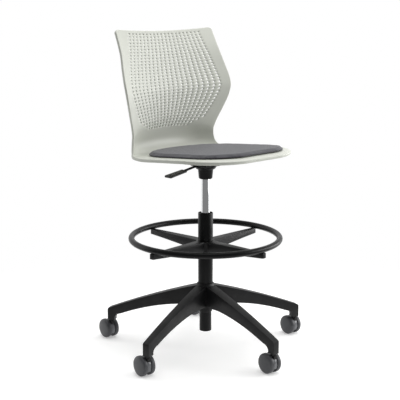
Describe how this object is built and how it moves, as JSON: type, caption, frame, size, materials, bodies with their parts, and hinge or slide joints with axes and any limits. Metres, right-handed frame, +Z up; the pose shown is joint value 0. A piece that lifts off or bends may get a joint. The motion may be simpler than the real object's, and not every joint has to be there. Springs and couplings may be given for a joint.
{
  "type": "drafting chair",
  "caption": "Armless swivel stool-height chair with a perforated one-piece shell, seat pad, gas lift, foot ring and castered star base.",
  "frame": {"origin": "on the floor, in the middle of the chair's footprint at rest", "axes": "+Z up, the sitter faces -Y, the sitter's left is +X"},
  "size_m": [0.6598, 0.6608, 1.0118],
  "materials": {
    "black_nylon": "moulded glass-filled nylon, fine satin texture",
    "black_steel": "satin black powder coat",
    "chrome": "polished",
    "steel": "plain zinc-plated steel",
    "white_acetal": "turned acetal",
    "shell_plastic": "moulded polypropylene, fine matte texture, warm light grey",
    "pad_fabric": "plain woven upholstery, mid grey",
    "wheel_plastic": "moulded nylon, dark grey",
    "hood_plastic": "moulded nylon, mid grey, slight sheen",
    "lever_plastic": "moulded black plastic"
  },
  "bodies": {
    "base": {"star_base": "black_nylon", "column_tube": "black_steel", "guide_bush": "black_nylon", "column_end_plate": "steel", "foot_ring_hub": "black_nylon", "foot_ring": "black_steel", "ring_screw_1": "steel", "ring_screw_2": "steel", "ring_screw_3": "steel", "ring_screw_4": "steel", "caster_sleeve_1": "steel", "caster_sleeve_2": "steel", "caster_sleeve_3": "steel", "caster_sleeve_4": "steel", "caster_sleeve_5": "steel"},
    "spindle": {"piston_rod": "steel", "piston": "white_acetal", "thrust_bearing": "steel", "retaining_clip": "steel"},
    "seat": {"pressure_tube": "chrome", "rod_guide": "black_nylon", "taper_socket": "black_nylon", "mount_plate": "black_steel", "seat_screw_1": "steel", "seat_screw_2": "steel", "seat_screw_3": "steel", "seat_screw_4": "steel", "seat_bracket": "black_nylon", "lever_pivot_pin": "steel", "seat_shell": "shell_plastic", "seat_pad": "pad_fabric"},
    "lever": {"lever_rod": "black_steel", "lever_paddle": "lever_plastic"},
    "release_pin": {"release_pin": "steel"},
    "caster_1": {"caster_stem_1": "steel", "caster_hood_1": "hood_plastic", "caster_axle_1": "steel"},
    "wheel_1a": {"wheel_1a": "wheel_plastic"},
    "wheel_1b": {"wheel_1b": "wheel_plastic"},
    "caster_2": {"caster_stem_2": "steel", "caster_hood_2": "hood_plastic", "caster_axle_2": "steel"},
    "wheel_2a": {"wheel_2a": "wheel_plastic"},
    "wheel_2b": {"wheel_2b": "wheel_plastic"},
    "caster_3": {"caster_stem_3": "steel", "caster_hood_3": "hood_plastic", "caster_axle_3": "steel"},
    "wheel_3a": {"wheel_3a": "wheel_plastic"},
    "wheel_3b": {"wheel_3b": "wheel_plastic"},
    "caster_4": {"caster_stem_4": "steel", "caster_hood_4": "hood_plastic", "caster_axle_4": "steel"},
    "wheel_4a": {"wheel_4a": "wheel_plastic"},
    "wheel_4b": {"wheel_4b": "wheel_plastic"},
    "caster_5": {"caster_stem_5": "steel", "caster_hood_5": "hood_plastic", "caster_axle_5": "steel"},
    "wheel_5a": {"wheel_5a": "wheel_plastic"},
    "wheel_5b": {"wheel_5b": "wheel_plastic"}
  },
  "joints": [
    {"name": "seat_swivel", "type": "hinge", "parent": "base", "child": "spindle", "pos_m": [0.00694, 0.00387, 0.06], "axis": [0, 0, 1], "continuous": true},
    {"name": "seat_lift", "type": "slide", "parent": "spindle", "child": "seat", "axis": [0, 0, 1], "range_m": [-0.08, 0.155]},
    {"name": "height_lever", "type": "hinge", "parent": "seat", "child": "lever", "pos_m": [-0.01506, 0.00387, 0.5975], "axis": [0, 1, 0], "range_deg": [0, 4], "stiffness_Nm_per_rad": 1},
    {"name": "valve_release", "type": "slide", "parent": "seat", "child": "release_pin", "axis": [0, 0, -1], "range_m": [0, 0.0016], "stiffness_N_per_m": 200},
    {"name": "caster_swivel_1", "type": "hinge", "parent": "base", "child": "caster_1", "pos_m": [-0.02262, -0.31476, 0.08], "axis": [0, 0, 1], "continuous": true},
    {"name": "wheel_spin_1a", "type": "hinge", "parent": "caster_1", "child": "wheel_1a", "pos_m": [-0.03363, -0.29527, 0.03136], "axis": [0.9925, -0.1219, 0], "continuous": true},
    {"name": "wheel_spin_1b", "type": "hinge", "parent": "caster_1", "child": "wheel_1b", "pos_m": [-0.00722, -0.29851, 0.03136], "axis": [0.9925, -0.1219, 0], "continuous": true},
    {"name": "caster_swivel_2", "type": "hinge", "parent": "base", "child": "caster_2", "pos_m": [0.30084, -0.1227, 0.08], "axis": [0, 0, 1], "continuous": true},
    {"name": "wheel_spin_2a", "type": "hinge", "parent": "caster_2", "child": "wheel_2a", "pos_m": [0.28984, -0.10321, 0.03136], "axis": [0.9925, -0.1219, 0], "continuous": true},
    {"name": "wheel_spin_2b", "type": "hinge", "parent": "caster_2", "child": "wheel_2b", "pos_m": [0.31624, -0.10646, 0.03136], "axis": [0.9925, -0.1219, 0], "continuous": true},
    {"name": "caster_swivel_3", "type": "hinge", "parent": "base", "child": "caster_3", "pos_m": [0.21814, 0.24428, 0.08], "axis": [0, 0, 1], "continuous": true},
    {"name": "wheel_spin_3a", "type": "hinge", "parent": "caster_3", "child": "wheel_3a", "pos_m": [0.20713, 0.26377, 0.03136], "axis": [0.9925, -0.1219, 0], "continuous": true},
    {"name": "wheel_spin_3b", "type": "hinge", "parent": "caster_3", "child": "wheel_3b", "pos_m": [0.23354, 0.26052, 0.03136], "axis": [0.9925, -0.1219, 0], "continuous": true},
    {"name": "caster_swivel_4", "type": "hinge", "parent": "base", "child": "caster_4", "pos_m": [-0.15643, 0.27903, 0.08], "axis": [0, 0, 1], "continuous": true},
    {"name": "wheel_spin_4a", "type": "hinge", "parent": "caster_4", "child": "wheel_4a", "pos_m": [-0.16744, 0.29851, 0.03136], "axis": [0.9925, -0.1219, 0], "continuous": true},
    {"name": "wheel_spin_4b", "type": "hinge", "parent": "caster_4", "child": "wheel_4b", "pos_m": [-0.14104, 0.29527, 0.03136], "axis": [0.9925, -0.1219, 0], "continuous": true},
    {"name": "caster_swivel_5", "type": "hinge", "parent": "base", "child": "caster_5", "pos_m": [-0.30523, -0.06648, 0.08], "axis": [0, 0, 1], "continuous": true},
    {"name": "wheel_spin_5a", "type": "hinge", "parent": "caster_5", "child": "wheel_5a", "pos_m": [-0.31624, -0.04699, 0.03136], "axis": [0.9925, -0.1219, 0], "continuous": true},
    {"name": "wheel_spin_5b", "type": "hinge", "parent": "caster_5", "child": "wheel_5b", "pos_m": [-0.28984, -0.05023, 0.03136], "axis": [0.9925, -0.1219, 0], "continuous": true}
  ],
  "couplings": [
    {"joint": "valve_release", "follows": "height_lever", "m_per_rad": 0.022}
  ]
}
